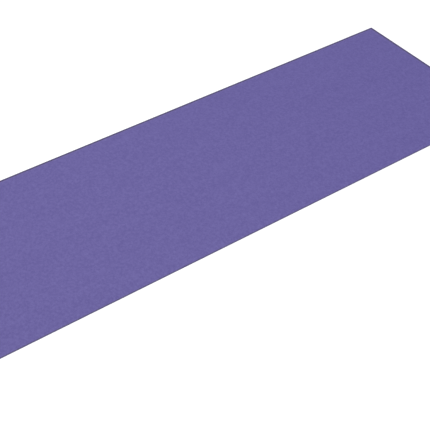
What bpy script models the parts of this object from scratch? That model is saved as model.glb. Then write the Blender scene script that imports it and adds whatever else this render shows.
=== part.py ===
"""A plain yoga mat, unrolled flat on the floor.

The mat is a laminate of three plies: a lower foam layer, a polyester scrim that keeps the
foam from stretching, and an upper foam layer. The length runs along X, the width along Y
and the thickness up Z. The origin is the middle of the underside. All sizes are in metres.
"""

import math

import bmesh
import bpy

# The outline that is cut through all three plies at once
MAT_LENGTH = 1.830
MAT_WIDTH = 0.610
CORNER_RADIUS = 0.002

# The plies, from the floor up
LOWER_FOAM_THICKNESS = 0.00155
SCRIM_THICKNESS = 0.0003
UPPER_FOAM_THICKNESS = 0.00155

# Clearance between one ply and the next, where the real foam bonds through the scrim
BOND_GAP = 0.0003

# Rounding of the cut edge at the face on the floor and at the face that is stood on
LOWER_FACE_ROUND = 0.0003
UPPER_FACE_ROUND = 0.0004

# Facets in each rounding
CORNER_SEGMENTS = 6
FACE_ROUND_SEGMENTS = 3
SHARP_ANGLE = math.radians(35)

PURPLE_FOAM_COLOUR = (0.156, 0.133, 0.361, 1)
POLYESTER_COLOUR = (0.60, 0.58, 0.66, 1)


def clear_scene():
    for scene_object in list(bpy.data.objects):
        bpy.data.objects.remove(scene_object, do_unlink=True)


def new_collection(name):
    collection = bpy.data.collections.new(name)
    bpy.context.scene.collection.children.link(collection)
    return collection


def plain_material(name, colour, roughness):
    material = bpy.data.materials.new(name)
    material.use_nodes = True
    shader = material.node_tree.nodes["Principled BSDF"]
    shader.inputs["Base Color"].default_value = colour
    shader.inputs["Roughness"].default_value = roughness
    shader.inputs["Metallic"].default_value = 0
    return material


def is_upright(edge):
    """Whether an edge of the box stands straight up."""
    low, high = edge.verts
    return low.co.x == high.co.x and low.co.y == high.co.y


def round_edges(box, edges, radius, segments):
    bmesh.ops.bevel(
        box,
        geom=edges,
        offset=radius,
        offset_type="OFFSET",
        segments=segments,
        profile=0.5,
        affect="EDGES",
    )


def ply_mesh(name, thickness, upper_round=0, lower_round=0):
    """A flat sheet with the mat's outline, centred on its own middle.

    Its four corners are rounded, and the rim of either face too where a radius is given.
    """
    box = bmesh.new()
    bmesh.ops.create_cube(box, size=1)
    bmesh.ops.scale(box, vec=(MAT_LENGTH, MAT_WIDTH, thickness), verts=box.verts)
    corners = [edge for edge in box.edges if is_upright(edge)]
    round_edges(box, corners, CORNER_RADIUS, CORNER_SEGMENTS)
    if upper_round:
        upper_face = max(box.faces, key=lambda face: face.calc_center_median().z)
        round_edges(box, list(upper_face.edges), upper_round, FACE_ROUND_SEGMENTS)
    if lower_round:
        lower_face = min(box.faces, key=lambda face: face.calc_center_median().z)
        round_edges(box, list(lower_face.edges), lower_round, FACE_ROUND_SEGMENTS)
    mesh = bpy.data.meshes.new(name)
    box.to_mesh(mesh)
    box.free()
    mesh.shade_smooth()
    mesh.set_sharp_from_angle(angle=SHARP_ANGLE)
    return mesh


def add_ply(name, mesh, material, underside_height, thickness, mat):
    """Lays a ply with its underside at a height above the floor, and ties it to the mat."""
    mesh.materials.append(material)
    ply = bpy.data.objects.new(name, mesh)
    ply.location.z = underside_height + thickness / 2
    ply.parent = mat
    mat.users_collection[0].objects.link(ply)
    return ply


def add_lower_foam_layer(mat, foam):
    mesh = ply_mesh("lower_foam_layer", LOWER_FOAM_THICKNESS, lower_round=LOWER_FACE_ROUND)
    add_ply("lower_foam_layer", mesh, foam, 0, LOWER_FOAM_THICKNESS, mat)


def add_reinforcing_scrim(mat, polyester):
    mesh = ply_mesh("reinforcing_scrim", SCRIM_THICKNESS)
    underside = LOWER_FOAM_THICKNESS + BOND_GAP
    add_ply("reinforcing_scrim", mesh, polyester, underside, SCRIM_THICKNESS, mat)


def add_upper_foam_layer(mat, foam):
    mesh = ply_mesh("upper_foam_layer", UPPER_FOAM_THICKNESS, upper_round=UPPER_FACE_ROUND)
    underside = LOWER_FOAM_THICKNESS + BOND_GAP + SCRIM_THICKNESS + BOND_GAP
    add_ply("upper_foam_layer", mesh, foam, underside, UPPER_FOAM_THICKNESS, mat)


clear_scene()
yoga_mat = bpy.data.objects.new("yoga_mat", None)
new_collection("yoga_mat").objects.link(yoga_mat)
purple_foam = plain_material("purple_foam", PURPLE_FOAM_COLOUR, roughness=0.8)
polyester_yarn = plain_material("polyester_yarn", POLYESTER_COLOUR, roughness=0.7)
add_lower_foam_layer(yoga_mat, purple_foam)
add_reinforcing_scrim(yoga_mat, polyester_yarn)
add_upper_foam_layer(yoga_mat, purple_foam)
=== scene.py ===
import math

import bpy
import numpy as np
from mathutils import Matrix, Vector


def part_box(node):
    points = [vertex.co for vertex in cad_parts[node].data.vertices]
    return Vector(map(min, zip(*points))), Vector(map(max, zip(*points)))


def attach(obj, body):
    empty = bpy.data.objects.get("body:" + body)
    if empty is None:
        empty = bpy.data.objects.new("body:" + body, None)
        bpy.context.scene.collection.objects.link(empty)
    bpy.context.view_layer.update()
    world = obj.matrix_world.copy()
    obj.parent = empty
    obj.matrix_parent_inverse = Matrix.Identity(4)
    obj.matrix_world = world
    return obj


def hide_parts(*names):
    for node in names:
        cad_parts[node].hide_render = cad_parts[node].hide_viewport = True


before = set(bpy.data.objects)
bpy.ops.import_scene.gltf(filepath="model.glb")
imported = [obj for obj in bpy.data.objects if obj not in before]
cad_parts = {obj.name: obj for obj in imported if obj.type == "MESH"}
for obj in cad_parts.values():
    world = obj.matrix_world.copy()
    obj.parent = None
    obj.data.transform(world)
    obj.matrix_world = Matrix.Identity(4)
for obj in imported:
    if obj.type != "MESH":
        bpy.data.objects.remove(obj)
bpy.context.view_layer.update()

upperLow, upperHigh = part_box("upper_foam_layer")
scrimLow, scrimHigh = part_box("reinforcing_scrim")
lowerLow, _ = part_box("lower_foam_layer")

# The mat lies with its length along x and its width along y, centred on the origin, in metres.
mat = {
    "halfLength": (upperHigh[0] - upperLow[0]) / 2,
    "halfWidth": (upperHigh[1] - upperLow[1]) / 2,
    "standingFace": upperHigh[2],
    "netHeight": (scrimLow[2] + scrimHigh[2]) / 2,
    "floorFace": lowerLow[2],
    "cornerRadius": 0.002,
    "cornerLines": (0.0, 0.0003, 0.0007, 0.0013, 0.0020),    # grid lines in from an edge
    "lineDecimals": 7,                 # of a metre, to which two grid lines are told apart
    "sharpAngle": 50.0,                # degrees between faces past which their edge isn't shaded smooth
}
print("frame loaded: mat", round(2 * mat["halfLength"], 3), "by", round(2 * mat["halfWidth"], 3), "m")


# Node helpers

noiseReach = (0.2, 0.8)                # Blender's noise hardly ever goes past these
mixColours = {"inputs": (6, 7), "output": 2}    # a Mix node's colour sockets, by number


def newMaterial(name):
    # a material, its node tree and the Principled shader in it
    material = bpy.data.materials.new(name)
    material.use_nodes = True
    return material, material.node_tree, material.node_tree.nodes["Principled BSDF"]


def plug(tree, socket, value):
    # links a socket, or sets a number or colour on it
    if isinstance(value, bpy.types.NodeSocket):
        tree.links.new(value, socket)
    else:
        socket.default_value = value


def addNode(tree, kind, settings=None, inputs=None):
    # a shader node of a kind, with its settings made and its named inputs plugged
    node = tree.nodes.new("ShaderNode" + kind)
    for name, value in (settings or {}).items():
        setattr(node, name, value)
    for name, value in (inputs or {}).items():
        plug(tree, node.inputs[name], value)
    return node


def combined(tree, operation, *values):
    # the operation, such as a sum, on the first value and the second, then on that and the third
    total = values[0]
    for value in values[1:]:
        node = addNode(tree, "Math", {"operation": operation})
        plug(tree, node.inputs[0], total)
        plug(tree, node.inputs[1], value)
        total = node.outputs["Value"]
    return total


def remap(tree, value, fromLow, fromHigh, toLow, toHigh, way="LINEAR"):
    # the value carried from one range to another, and kept in it, by a straight line or smooth step
    ends = {"From Min": fromLow, "From Max": fromHigh, "To Min": toLow, "To Max": toHigh}
    node = addNode(tree, "MapRange", {"interpolation_type": way}, {"Value": value, **ends})
    return node.outputs["Result"]


def countedIn(tree, lengthways, across):
    # Object coordinates divided by a grain's length in x and by its width in y and z
    place = addNode(tree, "TexCoord").outputs["Object"]
    scale = (1 / lengthways, 1 / across, 1 / across)
    return addNode(tree, "Mapping", {}, {"Vector": place, "Scale": scale}).outputs["Vector"]


def noiseOf(tree, size, detail):
    # noise in grains of a size, from 0 to 1
    inputs = {"Vector": countedIn(tree, *size), "Scale": 1.0, "Detail": detail}
    return addNode(tree, "TexNoise", {}, inputs).outputs["Fac"]


def grain(tree, size, detail, swing):
    # the noise as a number that swings by so much either side of zero
    return remap(tree, noiseOf(tree, size, detail), *noiseReach, -swing, swing)


def mixed(tree, share, first, second, how="MIX"):
    # a share of the way from the first colour to the second, or to their product if how is MULTIPLY
    node = addNode(tree, "Mix", {"data_type": "RGBA", "blend_type": how}, {"Factor": share})
    for index, colour in zip(mixColours["inputs"], (first, second)):
        plug(tree, node.inputs[index], (*colour, 1) if isinstance(colour, tuple) else colour)
    return node.outputs[mixColours["output"]]


def bumped(tree, shader, height, distance=1.0):
    # tilts the shader's normal as a surface raised by height times distance would be
    bump = addNode(tree, "Bump", {}, {"Height": height, "Strength": 1.0, "Distance": distance})
    plug(tree, shader.inputs["Normal"], bump.outputs["Normal"])


# Foam, with an embossed skin on its outer face and open cells where it was cut

# A grain's size is its length down the mat and its width across it. A colour's swing is a share of
# the way from one tint to the other.
skinFinish = {
    "darkTint": (0.124, 0.1014, 0.317),
    "lightTint": (0.174, 0.1481, 0.400),
    "middle": 0.5,                     # of the way from the dark tint to the light one
    "fine": {"size": (0.0065, 0.0071), "detail": 0.0, "swing": 0.312},
    "streaks": {"size": (0.110, 0.0095), "detail": 2.0, "swing": 0.09},
    "mottle": {"size": (0.450, 0.070), "detail": 1.0, "swing": 0.04},
    "roughness": (0.66, 0.78),         # over the fine grain's swing
    "shine": 0.20,
    "pebble": (0.0034, 0.0028),
    "pebbleMix": 0.45,                 # 0 sets the pebbles in an even grid, 1 throws them anywhere
    "pebbleTop": 0.10,                 # where it starts to sink, in pebbles from its middle,
    "valleyShadeStart": 0.4,                # where painted shade starts to darken it,
    "pebbleFoot": 0.62,                # and where both end
    "pebbleHeight": 0.00018,
    "pebbleSwing": 0.22,               # in colour, from pebble to pebble
    "valleyShadeSwing": -0.35,              # painted shade, in colour, down to a pebble's foot
    "leather": {"size": (0.0008, 0.0006), "detail": 2.0, "swing": 0.00002},    # a height
    "rimPaintedShade": (0.60, 0.59, 0.50),     # painted shade: the skin's colour is multiplied by this where the rim is pressed
    "rimSoft": 0.22,                   # half the width of the rim's inner line, in rims
    "rimWander": {"size": (0.0065, 0.0071), "detail": 0.0, "swing": 0.03},     # of that line, in rims
    "rimSink": 0.00010,
    "rimFlat": 0.7,                    # share of the pebbles' height that the press takes away
    "beadPaintedHighlight": (1.24, 1.23, 1.11),    # painted highlight, multiplied in as the rim's tint is, on a band just inside the pressed rim
    "beadHighlightEnd": 1.7,                    # where the painted highlight ends, in rims
}


def skinColour(tree, finish, pebbles, fine, pressedAndShaded, beadHighlight):
    # The two tints, blended by the sum of the grains, a tone for each pebble and painted shade in the
    # valleys between pebbles. That is multiplied by the bead's painted highlight where there is bead
    # but no press, and by the rim's painted shade where pressed.
    streaks, mottle = grain(tree, **finish["streaks"]), grain(tree, **finish["mottle"])
    tone = remap(tree, pebbles["Color"], 0, 1, -finish["pebbleSwing"], finish["pebbleSwing"])
    valleyShadeEnds = finish["valleyShadeStart"], finish["pebbleFoot"]
    valleyShade = remap(tree, pebbles["Distance"], *valleyShadeEnds, 0, finish["valleyShadeSwing"])
    share = combined(tree, "ADD", fine, streaks, mottle, tone, valleyShade, finish["middle"])
    skin = mixed(tree, share, finish["darkTint"], finish["lightTint"])
    onlyBeadHighlight = combined(tree, "SUBTRACT", beadHighlight, pressedAndShaded)
    skin = mixed(tree, onlyBeadHighlight, skin, finish["beadPaintedHighlight"], "MULTIPLY")
    return mixed(tree, pressedAndShaded, skin, finish["rimPaintedShade"], "MULTIPLY")


def skinHeight(tree, finish, pebbles, pressedAndShaded):
    # Each pebble is a smooth step from its foot to its top, times the share of it that the press
    # leaves. The leather is added to that, and the pressed rim's depth taken off.
    pebbleEnds = finish["pebbleFoot"], finish["pebbleTop"]
    whole = remap(tree, pebbles["Distance"], *pebbleEnds, 0, finish["pebbleHeight"], "SMOOTHSTEP")
    kept = remap(tree, pressedAndShaded, 0, 1, 1, 1 - finish["rimFlat"])
    pebble = combined(tree, "MULTIPLY", whole, kept)
    sunk = combined(tree, "MULTIPLY", pressedAndShaded, -finish["rimSink"])
    return combined(tree, "ADD", pebble, grain(tree, **finish["leather"]), sunk)


def foamSkinMaterial(name, finish):
    # The rim attribute is 0 at a cut edge, 1 on the rim's inner line and more further in. The press and
    # its painted shade fall from 1 to 0 across that line, and the bead's painted highlight from 1 on
    # the line to 0 where it ends.
    material, tree, shader = newMaterial(name)
    place = {"Vector": countedIn(tree, *finish["pebble"]), "Scale": 1.0}
    cells = {**place, "Randomness": finish["pebbleMix"]}
    pebbles = addNode(tree, "TexVoronoi", {"voronoi_dimensions": "2D"}, cells).outputs
    fine = grain(tree, **finish["fine"])
    rim = addNode(tree, "Attribute", {"attribute_name": "rim"}).outputs["Fac"]
    rim = combined(tree, "ADD", rim, grain(tree, **finish["rimWander"]))
    pressedAndShaded = remap(tree, rim, 1 + finish["rimSoft"], 1 - finish["rimSoft"], 0, 1)
    beadHighlight = remap(tree, rim, finish["beadHighlightEnd"], 1, 0, 1)
    plug(tree, shader.inputs["Base Color"], skinColour(tree, finish, pebbles, fine, pressedAndShaded, beadHighlight))
    swing = finish["fine"]["swing"]
    plug(tree, shader.inputs["Roughness"], remap(tree, fine, -swing, swing, *finish["roughness"]))
    shader.inputs["Specular IOR Level"].default_value = finish["shine"]
    bumped(tree, shader, skinHeight(tree, finish, pebbles, pressedAndShaded))
    return material


cutFinish = {
    "darkTint": (0.066, 0.056, 0.118),
    "lightTint": (0.124, 0.108, 0.205),
    "cell": (0.00022, 0.00022),
    "cellDepth": 0.00008,
    "roughness": 0.9,
}


def cutFoamMaterial(name, finish):
    # the distance from the middle of the nearest cell blends the two tints, and is the height, so the
    # dark tint is painted shade in each cell's sunken middle
    material, tree, shader = newMaterial(name)
    place = {"Vector": countedIn(tree, *finish["cell"]), "Scale": 1.0}
    cells = addNode(tree, "TexVoronoi", {"feature": "F1"}, place).outputs["Distance"]
    plug(tree, shader.inputs["Base Color"], mixed(tree, cells, finish["darkTint"], finish["lightTint"]))
    shader.inputs["Roughness"].default_value = finish["roughness"]
    bumped(tree, shader, cells, finish["cellDepth"])
    return material


# Net of yarns: the weft crosses the mat and lies on the warp, which runs along it

net = {
    "pitch": 0.005,
    "slack": 0.001,                    # share of a step that rounding may take off or put on
    "yarnWidth": 0.0010,
    "yarnThickness": 0.00014,
    "apart": 0.00002,                  # between the weft and the warp
    "short": 0.00003,                  # the yarns end this far in from the cut edge
    "drift": 0.00022,                  # how far a yarn wanders from its straight line
    "driftPeriod": 0.47,
    "driftTurn": 0.21,                 # phase from one yarn to the next
    # each wave's share of the drift, its count in a period and its share of the phase
    "driftWaves": ((0.6, 1.0, 1.0), (0.4, 2.3, -1.7)),
    "sides": 6,
    "stationSpacing": 0.061,           # between the points that a yarn is drawn through
}


def yarnPlaces(half):
    # middles of the yarns: as many, a pitch apart, as fit between the two cut edges
    count = int(2 * half / net["pitch"] + net["slack"])
    return (np.arange(count) - (count - 1) / 2) * net["pitch"]


def stations(half):
    # even places from edge to edge, both edges among them
    return np.linspace(-half, half, round(2 * half / net["stationSpacing"]) + 1)


def yarnDrift(place, along):
    # the drift times a sum of slow sine waves along the yarn, each turned a little from the last's
    turn = place / net["pitch"] * net["driftTurn"]
    wave = 2 * math.pi * along / net["driftPeriod"]
    waves = (share * np.sin(count * wave + turns * turn) for share, count, turns in net["driftWaves"])
    return net["drift"] * sum(waves)


def yarnSet(half, reach, height):
    # Each yarn is a flat ellipse carried along its drifting line: across is the line's place plus
    # half the width times the cosine, up is the height plus half the thickness times the sine.
    # Points are (across, along, up).
    place = yarnPlaces(half)[:, None, None]
    along = np.clip(stations(reach), net["short"] - reach, reach - net["short"])[None, :, None]
    angle = (np.arange(net["sides"]) * 2 * math.pi / net["sides"])[None, None, :]
    across = place + yarnDrift(place, along) + net["yarnWidth"] / 2 * np.cos(angle)
    up = height + net["yarnThickness"] / 2 * np.sin(angle)
    points = np.stack(np.broadcast_arrays(across, along, up), axis=-1)
    yarns, rings, sides = points.shape[:3]
    ring = np.arange(yarns * rings * sides).reshape(yarns, rings, sides)
    turned = np.roll(ring, -1, axis=2)
    quads = np.stack([ring[:, :-1], ring[:, 1:], turned[:, 1:], turned[:, :-1]], axis=-1).reshape(-1, 4)
    ends = np.concatenate([ring[:, 0], ring[:, -1, ::-1]])
    return points.reshape(-1, 3), quads, ends


def yarnNet(name):
    # the weft half a thickness and half a gap above the net's middle, and the warp as far below it
    lift = net["yarnThickness"] / 2 + net["apart"] / 2
    weft, weftQuads, weftEnds = yarnSet(mat["halfLength"], mat["halfWidth"], mat["netHeight"] + lift)
    warp, warpQuads, warpEnds = yarnSet(mat["halfWidth"], mat["halfLength"], mat["netHeight"] - lift)
    warp = warp[:, [1, 0, 2]]                       # the warp runs along x
    warpQuads, warpEnds = warpQuads[:, ::-1] + len(weft), warpEnds[:, ::-1] + len(weft)
    faces = [face for group in (weftQuads, weftEnds, warpQuads, warpEnds) for face in group.tolist()]
    return newPiece(name, np.concatenate([weft, warp]), faces)


yarnFinish = {
    "colour": (0.62, 0.60, 0.64),
    "shade": (0.46, 0.44, 0.50),
    "filament": (0.00012, 0.00012),
    "filamentDetail": 2.0,
    "filamentDepth": 0.00003,
    "roughness": 0.55,
    "sheen": 0.3,
}


def yarnMaterial(name, finish):
    # fine noise blends the two tints, and is the height
    material, tree, shader = newMaterial(name)
    filaments = noiseOf(tree, finish["filament"], finish["filamentDetail"])
    plug(tree, shader.inputs["Base Color"], mixed(tree, filaments, finish["shade"], finish["colour"]))
    shader.inputs["Roughness"].default_value = finish["roughness"]
    shader.inputs["Sheen Weight"].default_value = finish["sheen"]
    bumped(tree, shader, filaments, finish["filamentDepth"])
    return material


# Foam sheets: an outer face with relief, a cut wall, and an inner face pressed round the yarns. A
# sheet's side is 1 above the net and -1 below it, where a pair read by [::side] changes places. Its
# heights are counted out from the net's middle until it is put in place.

foam = {
    "rimLines": (                      # grid lines in from each cut edge
        0.0, 0.0001, 0.00025, 0.0004, 0.0008, 0.0015, 0.0024, 0.0034,
        0.0045, 0.0055, 0.0065, 0.0078, 0.0092, 0.0108, 0.0125, 0.0150,
    ),
    "lengthSpacing": 0.0085,           # of the grid lines between those
    "widthSpacing": 0.0031,
    "faceRound": 0.0004,
    "rimPressAndShadeWidth": {"far": 0.0077, "end": 0.0085, "near": 0.0015},    # how far in it is pressed and painted darker: narrow on the near edge, which faces the sun, and wide on the far edge and the ends
    "rimReach": 3.0,                   # how far in the rim attribute rises, in rims
    "shoulderWidth": 0.0042,           # over which the face sinks to the cut edge
    "shoulderDrop": {1: 0.00055, -1: 0.00010},    # for each side
    "wallShares": (0.25, 0.5, 0.75),   # of the way down the cut wall, for its rows
    "wallHollow": 0.00006,
    "hemHeight": 0.00028,              # over the ends of the yarns
    "seam": 0.00001,                   # left between the two foams where they meet through the net
    "grooveRoom": 0.00004,             # round each yarn
    "grooveShares": (-1.0, -0.7, 0.0, 0.7, 1.0),    # of its half width, for the grid lines over it
    "reliefWaves": 36,
    "reliefHeight": 0.000018,          # one standard deviation
    "reliefMost": 2,                   # standard deviations, past which the relief is cut off
    "reliefFade": 0.0090,              # from the cut edge to where it is whole
    "reliefLong": (0.12, 0.60),        # wavelengths down the mat and across it
    "reliefShort": (0.010, 0.045),
}


def newPiece(name, points, faces):
    # a piece at the origin, drawn smooth but for its sharp edges
    mesh = bpy.data.meshes.new(name)
    mesh.from_pydata(points.tolist(), [], faces)
    mesh.shade_smooth()
    mesh.set_sharp_from_angle(angle=math.radians(mat["sharpAngle"]))
    piece = bpy.data.objects.new(name, mesh)
    bpy.context.scene.collection.objects.link(piece)
    return piece


def linesAcross(half, fromEdge, spacing):
    # even lines over the middle, and lines at the given distances in from both edges
    edge = half - np.array(fromEdge)
    middle = np.linspace(-edge[-1], edge[-1], round(2 * edge[-1] / spacing) + 1)[1:-1]
    return np.concatenate([-edge, middle, edge[::-1]])


def withCorners(half, lines):
    # the lines and the corner's lines at both edges, in order; where two are the same, one of them
    edge = half - np.array(mat["cornerLines"])
    return np.unique(np.round(np.concatenate([-edge, lines, edge]), mat["lineDecimals"]))


def grooveLines(half, clear):
    # lines over each yarn, at shares of the groove's half width from its middle
    over = np.array(foam["grooveShares"]) * clear
    return withCorners(half, (yarnPlaces(half)[:, None] + over[None, :]).ravel())


def drawnCorners(x, y):
    # Within a radius of both edges, a and b go from 0 to 1 out along x and y. The square they make
    # is squeezed onto a quarter disc: a times the root of 1 less half of b squared, and b alike.
    r = mat["cornerRadius"]
    a = np.clip((np.abs(x) - (mat["halfLength"] - r)) / r, 0, 1)
    b = np.clip((np.abs(y) - (mat["halfWidth"] - r)) / r, 0, 1)
    roundX = np.sign(x) * (mat["halfLength"] - r + r * a * np.sqrt(1 - b**2 / 2))
    roundY = np.sign(y) * (mat["halfWidth"] - r + r * b * np.sqrt(1 - a**2 / 2))
    return np.where(a > 0, roundX, x), np.where(b > 0, roundY, y)


def grid(x, y):
    # points where the lines cross, with the mat's corners drawn, and a quad between each four
    gridX, gridY = (part.ravel() for part in np.meshgrid(x, y, indexing="ij"))
    corner = (np.arange(len(x) - 1)[:, None] * len(y) + np.arange(len(y) - 1)[None, :]).ravel()
    quads = np.stack([corner, corner + len(y), corner + len(y) + 1, corner + 1], axis=1)
    return *drawnCorners(gridX, gridY), quads


def fromCutEdge(x, y):
    # Distance in from the rounded rectangle: the radius, less how far out a place is past the lines
    # through the corners' centres, or plus how far inside both of them it is.
    r = mat["cornerRadius"]
    pastX = np.abs(x) - (mat["halfLength"] - r)
    pastY = np.abs(y) - (mat["halfWidth"] - r)
    beyond = np.hypot(np.maximum(pastX, 0), np.maximum(pastY, 0))
    return np.clip(r - beyond - np.minimum(np.maximum(pastX, pastY), 0), 0, None)


def rimPlace(x, y):
    # distance in from each cut edge over the width of its rim, and of these the least
    inward = {
        "far": mat["halfWidth"] - y,
        "near": mat["halfWidth"] + y,
        "end": mat["halfLength"] - np.abs(x),
    }
    places = [inward[edge] / width for edge, width in foam["rimPressAndShadeWidth"].items()]
    return np.clip(np.minimum.reduce(places), 0, foam["rimReach"])


def relief(x, y, seed):
    # A sum of plane waves, long down the mat and short across it, in random phase, over its own
    # standard deviation. The most that it may be is taken off, so it only goes in from the face.
    draw = np.random.default_rng(seed)
    total = np.zeros_like(x)
    for _ in range(foam["reliefWaves"]):
        long = draw.uniform(*foam["reliefLong"]) * draw.choice((-1, 1))
        short = draw.uniform(*foam["reliefShort"])
        total += np.cos(2 * math.pi * (x / long + y / short) + draw.uniform(0, 2 * math.pi))
    total /= math.sqrt(foam["reliefWaves"] / 2)
    most = foam["reliefMost"]
    return foam["reliefHeight"] * (np.clip(total, -most, most) - most)


def outerFace(outer, side, seed):
    # The height of the face, less a quarter round at the rim, less a shoulder that sinks with the
    # square of how far out a place is, plus the relief, which fades out to the rim.
    x = linesAcross(mat["halfLength"], foam["rimLines"], foam["lengthSpacing"])
    y = linesAcross(mat["halfWidth"], foam["rimLines"], foam["widthSpacing"])
    faceX, faceY, quads = grid(x, y)
    inward = fromCutEdge(faceX, faceY)
    dip = np.clip(foam["faceRound"] - inward, 0, None)
    drop = foam["faceRound"] - np.sqrt(foam["faceRound"]**2 - dip**2)
    shoulder = np.clip(1 - inward / foam["shoulderWidth"], 0, 1)
    drop += foam["shoulderDrop"][side] * shoulder**2
    fade = np.clip(inward / foam["reliefFade"], 0, 1)
    height = abs(outer - mat["netHeight"]) - drop + relief(faceX, faceY, seed) * fade
    return x, y, np.stack([faceX, faceY, height], axis=1), quads


def pressedFace(side):
    # Flat at half the seam, plus a groove over each yarn: its depth times the root of 1 less the
    # square of how far out in the groove a place is. The grooves drift with the yarns, which are
    # the weft's above the net and the warp's below it.
    clear = net["yarnWidth"] / 2 + foam["grooveRoom"]
    deep = net["yarnThickness"] + foam["grooveRoom"]
    halfAcross, halfAlong = (mat["halfLength"], mat["halfWidth"])[::side]
    lines = grooveLines(halfAcross, clear), withCorners(halfAlong, stations(halfAlong))
    x, y = lines[::side]
    flatX, flatY, quads = grid(x, y)
    across, along = (flatX, flatY)[::side]
    places = yarnPlaces(halfAcross)
    nearest = places[np.abs(across[:, None] - places[None, :]).argmin(axis=1)]
    offset = (across - nearest) / clear
    groove = deep * np.sqrt(np.clip(1 - offset**2, 0, 1))
    isGroove = np.abs(offset) < 1 + net["slack"]    # and its two edges
    moved = across + yarnDrift(nearest, along) * isGroove
    return x, y, np.stack([*(moved, along)[::side], foam["seam"] / 2 + groove], axis=1), quads


def rimOf(x, y):
    # the border of a grid as a loop from its lowest corner, and each point's share of the way round
    columns, rows = len(x), len(y)
    south = np.arange(columns - 1) * rows
    east = (columns - 1) * rows + np.arange(rows - 1)
    north = np.arange(columns - 1, 0, -1) * rows + rows - 1
    west = np.arange(rows - 1, 0, -1)
    length, width = x[-1] - x[0], y[-1] - y[0]
    way = np.concatenate([
        x[:-1] - x[0], length + y[:-1] - y[0],
        length + width + x[-1] - x[:0:-1], 2 * length + width + y[-1] - y[:0:-1],
    ])
    return np.concatenate([south, east, north, west]), way / (2 * (length + width))


def wallRows(outline):
    # Rows of the outline at shares of the way down to the hem, each moved in by the hollow times
    # the sine of half a turn times its share.
    inward = -np.clip(outline[:, :2] / (mat["halfLength"], mat["halfWidth"]), -1, 1)
    rows = []
    for share in foam["wallShares"]:
        row = outline.copy()
        row[:, 2] = outline[:, 2] * (1 - share) + foam["hemHeight"] * share
        row[:, :2] += inward * foam["wallHollow"] * math.sin(math.pi * share)
        rows.append(row)
    return np.concatenate(rows)


def bridged(above, below):
    # quads between two loops of like count
    return np.stack([above, below, np.roll(below, -1), np.roll(above, -1)], axis=1)


def zipped(above, wayAbove, below, wayBelow):
    # triangles between two loops of unlike count: each step goes on with the loop that is behind
    endAbove, endBelow = np.append(wayAbove[1:], 1.0), np.append(wayBelow[1:], 1.0)
    heldBelow = np.append(below, below[0])[np.searchsorted(endBelow, endAbove, side="left")]
    heldAbove = np.append(above, above[0])[np.searchsorted(endAbove, endBelow, side="right")]
    return np.concatenate([
        np.stack([above, heldBelow, np.roll(above, -1)], axis=1),
        np.stack([heldAbove, below, np.roll(below, -1)], axis=1),
    ])


# Where the parts of a foam sheet lie on its own UV map, from and to up the map. Only the export's
# bake goes through it, so the outer face, which is seen most, gets most of it.
sheetMap = {
    "name": "OFBake",                  # which the export looks for
    "sideRoom": 0.008,                 # left clear at the map's sides and between the end walls
    "westFace": (0.004, 0.470),
    "eastFace": (0.478, 0.944),
    "farWall": (0.949, 0.955),
    "nearWall": (0.960, 0.966),
    "endWalls": (0.971, 0.977),
    "innerFace": (0.982, 0.996),
}


def shareOf(place, half):
    # how far a place is from one edge of the mat to the other
    return (place + half) / (2 * half)


def laid(along, up, strip):
    # places on the map, shares of the way along a strip of it and up the strip
    low, high = sheetMap[strip]
    u = sheetMap["sideRoom"] + along * (1 - 2 * sheetMap["sideRoom"])
    return np.stack(np.broadcast_arrays(u, low + up * (high - low)), axis=-1)


def faceMap(corners):
    # the west half of the outer face on one strip, and the east half on the next
    x, y = corners[..., 0], corners[..., 1]
    up = shareOf(y, mat["halfWidth"])
    west = laid(x / mat["halfLength"] + 1, up, "westFace")
    east = laid(x / mat["halfLength"], up, "eastFace")
    return np.where(x.mean(axis=1)[:, None, None] > 0, east, west)


def wallMap(corners):
    # each long wall on a strip of its own, and the two end walls side by side on a third
    x, y, z = (corners[..., i] for i in range(3))
    up = np.clip(z / (mat["standingFace"] - mat["netHeight"]), 0, 1)
    along = shareOf(x, mat["halfLength"])
    far, near = laid(along, up, "farWall"), laid(along, up, "nearWall")
    sides = np.where(y.mean(axis=1)[:, None, None] > 0, far, near)
    across = shareOf(y, mat["halfWidth"]) * (0.5 - sheetMap["sideRoom"])
    ends = laid(across + (x > 0) * (0.5 + sheetMap["sideRoom"]), up, "endWalls")
    outX = (np.abs(x) - mat["halfLength"]).mean(axis=1)[:, None, None]
    outY = (np.abs(y) - mat["halfWidth"]).mean(axis=1)[:, None, None]
    return np.where(outY > outX, sides, ends)


def innerMap(corners, side):
    # the whole inner face on one strip, with its grooves across it
    shares = shareOf(corners[..., 0], mat["halfLength"]), shareOf(corners[..., 1], mat["halfWidth"])
    return laid(*shares[::side], "innerFace")


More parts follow.
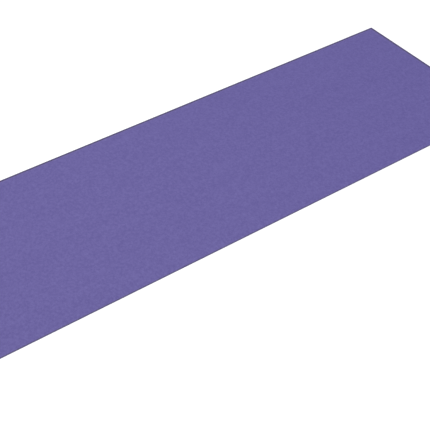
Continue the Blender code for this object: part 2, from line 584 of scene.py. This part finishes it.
def foamSheet(name, outer, side, seed):
    # Outer face, wall rows, hem and inner face, each joined to the next. The hem is the inner
    # face's border, raised over the ends of the yarns.
    x, y, face, faceQuads = outerFace(outer, side, seed)
    innerX, innerY, inner, innerQuads = pressedFace(side)
    rim, way = rimOf(x, y)
    innerRim, innerWay = rimOf(innerX, innerY)
    walls = wallRows(face[rim])
    hem = inner[innerRim].copy()
    hem[:, 2] = foam["hemHeight"]
    points = np.concatenate([face, walls, inner, hem])
    firstInner = len(face) + len(walls)
    loops = [rim, *(len(face) + np.arange(len(walls)).reshape(-1, len(rim)))]
    hemLoop = firstInner + len(inner) + np.arange(len(hem))
    groups = [
        faceQuads,
        np.concatenate([bridged(above, below) for above, below in zip(loops, loops[1:])]),
        zipped(loops[-1], way, hemLoop, innerWay),
        bridged(hemLoop, innerRim + firstInner),
        innerQuads[:, ::-1] + firstInner,
    ]
    if side < 0:
        groups = [group[:, ::-1] for group in groups]
    outside, *cut, inside = (points[group] for group in groups)
    laidOut = [faceMap(outside), *(wallMap(part) for part in cut), innerMap(inside, side)]
    points[:, 2] = mat["netHeight"] + side * points[:, 2]
    piece = newPiece(name, points, [corners for group in groups for corners in group.tolist()])
    places = np.concatenate([part.reshape(-1, 2) for part in laidOut]).astype(np.float32)
    piece.data.uv_layers.new(name=sheetMap["name"]).uv.foreach_set("vector", places.ravel())
    isCut = np.ones(len(piece.data.polygons), np.int32)
    isCut[:len(faceQuads)] = 0
    piece.data.polygons.foreach_set("material_index", isCut)
    rimValues = np.zeros(len(points), np.float32)
    rimValues[:len(face)] = rimPlace(face[:, 0], face[:, 1])
    piece.data.attributes.new("rim", "FLOAT", "POINT").data.foreach_set("value", rimValues)
    return piece


def dress(piece, node, slotName, *materials):
    # gives a piece its materials, hides its node and hangs the piece on the root body
    for material in materials:
        piece.data.materials.append(material)
    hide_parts(node)
    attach(piece, "root")
    print(piece.name, "made:", len(piece.data.polygons), "faces")


upperFoam = foamSheet("embossed_upper_foam", mat["standingFace"], side=1, seed=11)
lowerFoam = foamSheet("embossed_lower_foam", mat["floorFace"], side=-1, seed=12)
yarns = yarnNet("yarn_net")
foamSkin = foamSkinMaterial("foamSkin", skinFinish)
cutFoam = cutFoamMaterial("cutFoam", cutFinish)
dress(upperFoam, "upper_foam_layer", "upper_foam", foamSkin, cutFoam)
dress(lowerFoam, "lower_foam_layer", "lower_foam", foamSkin, cutFoam)
dress(yarns, "reinforcing_scrim", "scrim_polyester", yarnMaterial("polyesterYarn", yarnFinish))


# Floor, lights and camera

studio = {
    "floorSize": 14.0,
    "floorGap": 0.0001,                # below the mat, so that the two faces never fight
    "floorColour": (0.86, 0.86, 0.86, 1),
    "floorGlow": 0.34,
    "skyColour": (1, 1, 1, 1),
    "skyStrength": 0.47,
    "skyShown": 1.0,                   # its strength where it is seen directly
    "sunStrength": 1.76,
    "sunAngle": 24.0,
    "sunColour": (0.94, 0.937, 1.12),
    "sunFrom": (-0.80, -0.95, 1.00),
    "endLampPlace": (-0.60, 0.0, 2.0),
    "endLampSize": 1.2,
    "endLampPower": 8.8,
    "endLampColour": (1.0, 1.05, 0.66),
}


def shownDirectly(tree):
    # 1 for what the camera sees, also in a gloss or through glass, and 0 for what only lights a
    # surface
    path = addNode(tree, "LightPath").outputs
    rays = ("Is Camera Ray", "Is Glossy Ray", "Is Transmission Ray")
    return combined(tree, "MAXIMUM", *(path[ray] for ray in rays))


def addFloor():
    # a square under the mat, whose paint also glows where it is seen directly
    half = studio["floorSize"] / 2
    mesh = bpy.data.meshes.new("floor")
    down = -studio["floorGap"]
    corners = [(-half, -half, down), (half, -half, down), (half, half, down), (-half, half, down)]
    mesh.from_pydata(corners, [], [(0, 1, 2, 3)])
    floor = bpy.data.objects.new("floor", mesh)
    bpy.context.scene.collection.objects.link(floor)
    material, tree, shader = newMaterial("floor")
    tree.nodes.remove(shader)
    strength = combined(tree, "MULTIPLY", shownDirectly(tree), studio["floorGlow"])
    glow = addNode(tree, "Emission", {}, {"Strength": strength})
    paint = addNode(tree, "BsdfDiffuse", {}, {"Color": studio["floorColour"]})
    both = addNode(tree, "AddShader")
    tree.links.new(glow.outputs[0], both.inputs[0])
    tree.links.new(paint.outputs[0], both.inputs[1])
    tree.links.new(both.outputs[0], tree.nodes["Material Output"].inputs["Surface"])
    mesh.materials.append(material)


def addSky():
    # white all round, weaker as a light than where it is seen directly
    world = bpy.data.worlds.new("sky")
    world.use_nodes = True
    tree = world.node_tree
    background = tree.nodes["Background"].inputs
    plug(tree, background["Color"], studio["skyColour"])
    plug(tree, background["Strength"], remap(
        tree, shownDirectly(tree), 0, 1, studio["skyStrength"], studio["skyShown"],
    ))
    bpy.context.scene.world = world


def addLight(name, data, place, aim):
    # a light at a place, turned to face its aim
    light = bpy.data.objects.new(name, data)
    light.location = place
    light.rotation_euler = (Vector(aim) - Vector(place)).to_track_quat("-Z", "Y").to_euler()
    bpy.context.scene.collection.objects.link(light)


def addLights():
    # a soft sun from the camera's side, and a lamp that brightens the mat's left end
    sun = bpy.data.lights.new("sun", "SUN")
    sun.energy, sun.angle = studio["sunStrength"], math.radians(studio["sunAngle"])
    sun.color = studio["sunColour"]
    addLight("sun", sun, studio["sunFrom"], (0, 0, 0))
    lamp = bpy.data.lights.new("endLamp", "AREA")
    lamp.shape, lamp.size, lamp.energy = "DISK", studio["endLampSize"], studio["endLampPower"]
    lamp.color = studio["endLampColour"]
    x, y, _ = studio["endLampPlace"]
    addLight("endLamp", lamp, studio["endLampPlace"], (x, y, 0))


camera = {
    "place": (-1.28951, -1.86311, 1.91151),
    "turn": -34.9811,                  # degrees about z, from looking along y
    "tilt": 42.9604,                   # degrees down from level
    "lens": 81.947,                    # millimetres, as the sensor is
    "sensor": 36.0,
    "clip": (0.05, 50),
}


def addCamera():
    # upright at its place, turned about z and then tilted down
    data = bpy.data.cameras.new("camera")
    data.lens, data.sensor_width = camera["lens"], camera["sensor"]
    data.clip_start, data.clip_end = camera["clip"]
    viewer = bpy.data.objects.new("camera", data)
    viewer.location = camera["place"]
    viewer.rotation_euler = (math.radians(90 - camera["tilt"]), 0, math.radians(camera["turn"]))
    bpy.context.scene.collection.objects.link(viewer)
    bpy.context.scene.camera = viewer


addFloor()
addSky()
addLights()
addCamera()
bpy.context.scene.view_settings.view_transform = "Standard"
print("studio made")
